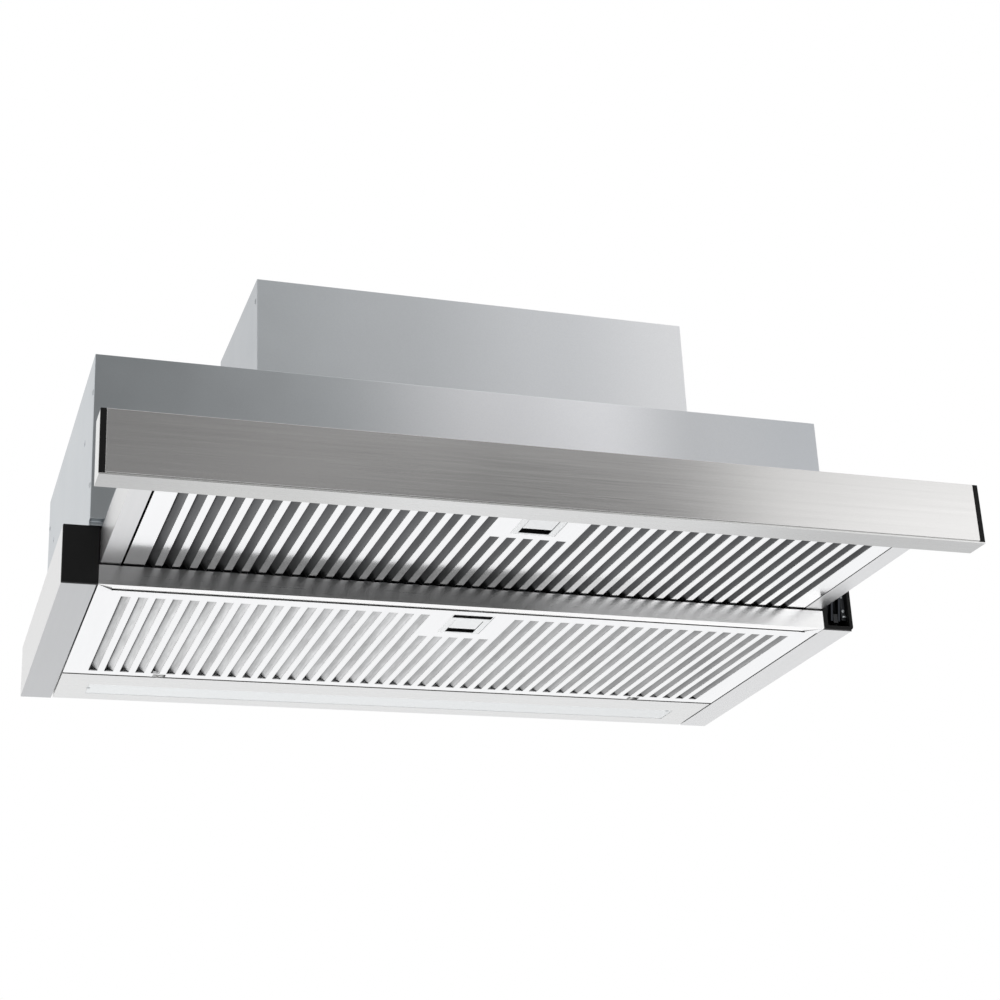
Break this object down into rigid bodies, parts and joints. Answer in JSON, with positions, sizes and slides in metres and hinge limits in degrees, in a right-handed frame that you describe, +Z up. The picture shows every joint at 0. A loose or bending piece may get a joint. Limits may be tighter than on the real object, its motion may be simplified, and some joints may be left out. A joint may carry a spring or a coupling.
{
  "type": "pull out range hood",
  "caption": "Built-in range hood with a pull-out filter drawer, a hinged lower filter, a rear light and a round duct outlet on a raised motor box.",
  "frame": {"origin": "middle of the underside of the whole hood with its drawer open, on the plane that the hood stands on", "axes": "+X to the right seen from the front, along the hood's width; +Y from the front panel towards the back; +Z up towards the duct outlet"},
  "size_m": [0.598, 0.473, 0.287],
  "materials": {
    "panel_stainless": "brushed lengthwise",
    "frame_stainless": "satin",
    "filter_stainless": "bright satin",
    "galvanised_sheet": "galvanised, satin",
    "slide_steel": "zinc plated",
    "filter_mesh": "expanded layers",
    "latch_grey": "fine matt",
    "spring_steel": "polished",
    "black_plastic": "matt",
    "dark_plastic": "matt",
    "white_plastic": "smooth",
    "opal_diffuser": "opal",
    "circuit_board": "solder mask",
    "motor_steel": "satin",
    "shaft_steel": "ground"
  },
  "bodies": {
    "hood": {"side_profile_left": "frame_stainless", "side_profile_right": "frame_stainless", "end_cap_left": "black_plastic", "end_frame_right": "black_plastic", "front_beam": "frame_stainless", "light_housing": "frame_stainless", "light_diffuser": "opal_diffuser", "led_board": "circuit_board", "upper_front_sheet": "galvanised_sheet", "side_wall_left": "galvanised_sheet", "side_wall_right": "galvanised_sheet", "back_wall": "galvanised_sheet", "upper_top_plate": "galvanised_sheet", "box_front_sheet": "galvanised_sheet", "box_side_left": "galvanised_sheet", "box_side_right": "galvanised_sheet", "box_back_sheet": "galvanised_sheet", "box_top_plate": "galvanised_sheet", "track_left": "slide_steel", "track_right": "slide_steel", "scroll_left": "dark_plastic", "scroll_right": "dark_plastic", "motor_body": "motor_steel", "motor_bracket": "slide_steel", "outlet_collar": "black_plastic", "terminal_box": "black_plastic", "cable_gland": "black_plastic", "control_box": "black_plastic", "micro_switch": "dark_plastic", "sheet_screws": "slide_steel"},
    "drawer": {"panel_face": "panel_stainless", "panel_carrier": "frame_stainless", "panel_end_strips": "black_plastic", "drawer_cover": "galvanised_sheet", "drawer_front_rail": "frame_stainless", "drawer_rail_left": "frame_stainless", "drawer_rail_right": "frame_stainless", "drawer_rear_rail": "frame_stainless", "runner_left": "white_plastic", "runner_right": "white_plastic", "drawer_filter_face": "filter_stainless", "drawer_filter_mesh": "filter_mesh", "drawer_latch_housing": "latch_grey", "drawer_latch_spring": "spring_steel", "button_bar": "black_plastic"},
    "drawer_latch": {"drawer_latch_slider": "latch_grey"},
    "fixed_filter": {"fixed_filter_face": "filter_stainless", "fixed_filter_mesh": "filter_mesh", "fixed_latch_housing": "latch_grey", "fixed_latch_spring": "spring_steel"},
    "fixed_latch": {"fixed_latch_slider": "latch_grey"},
    "impeller": {"fan_wheel": "dark_plastic", "motor_shaft": "shaft_steel"},
    "front_flap": {"flap_front": "dark_plastic"},
    "rear_flap": {"flap_rear": "dark_plastic"},
    "lever": {"switch_lever": "spring_steel"},
    "off_button": {"button_off": "black_plastic"},
    "low_button": {"button_low": "black_plastic"},
    "high_button": {"button_high": "black_plastic"},
    "light_button": {"button_light": "black_plastic"}
  },
  "joints": [
    {"name": "drawer_slide", "type": "slide", "parent": "hood", "child": "drawer", "axis": [0, 1, 0], "range_m": [0, 0.17]},
    {"name": "drawer_latch_slide", "type": "slide", "parent": "drawer", "child": "drawer_latch", "axis": [0, 1, 0], "range_m": [0, 0.003], "stiffness_N_per_m": 800, "springref_m": -0.001, "deforming": ["drawer_latch_spring"]},
    {"name": "fixed_filter_tilt", "type": "hinge", "parent": "hood", "child": "fixed_filter", "pos_m": [0, 0.1635, 0.0045], "axis": [1, 0, 0], "range_deg": [0, 60]},
    {"name": "fixed_latch_slide", "type": "slide", "parent": "fixed_filter", "child": "fixed_latch", "axis": [0, 1, 0], "range_m": [0, 0.003], "stiffness_N_per_m": 800, "springref_m": -0.001, "deforming": ["fixed_latch_spring"]},
    {"name": "impeller_spin", "type": "hinge", "parent": "hood", "child": "impeller", "pos_m": [0.022, 0.0795, 0.125], "axis": [1, 0, 0], "continuous": true},
    {"name": "front_flap_swing", "type": "hinge", "parent": "hood", "child": "front_flap", "pos_m": [0.022, 0.0885, 0.279], "axis": [-1, 0, 0], "range_deg": [0, 75]},
    {"name": "rear_flap_swing", "type": "hinge", "parent": "hood", "child": "rear_flap", "pos_m": [0.022, 0.0885, 0.279], "axis": [1, 0, 0], "range_deg": [0, 75]},
    {"name": "switch_lever_swing", "type": "hinge", "parent": "hood", "child": "lever", "pos_m": [0.2875, -0.0375, 0.011], "axis": [-1, 0, 0], "range_deg": [0, 12], "stiffness_Nm_per_rad": 0.02, "springref_deg": -17.19},
    {"name": "button_off_press", "type": "slide", "parent": "drawer", "child": "off_button", "axis": [0, 0, -1], "range_m": [0, 0.001], "stiffness_N_per_m": 1500, "springref_m": -0.0005},
    {"name": "button_low_press", "type": "slide", "parent": "drawer", "child": "low_button", "axis": [0, 0, -1], "range_m": [0, 0.001], "stiffness_N_per_m": 1500, "springref_m": -0.0005},
    {"name": "button_high_press", "type": "slide", "parent": "drawer", "child": "high_button", "axis": [0, 0, -1], "range_m": [0, 0.001], "stiffness_N_per_m": 1500, "springref_m": -0.0005},
    {"name": "button_light_press", "type": "slide", "parent": "drawer", "child": "light_button", "axis": [0, 0, -1], "range_m": [0, 0.001], "stiffness_N_per_m": 1500, "springref_m": -0.0005}
  ]
}
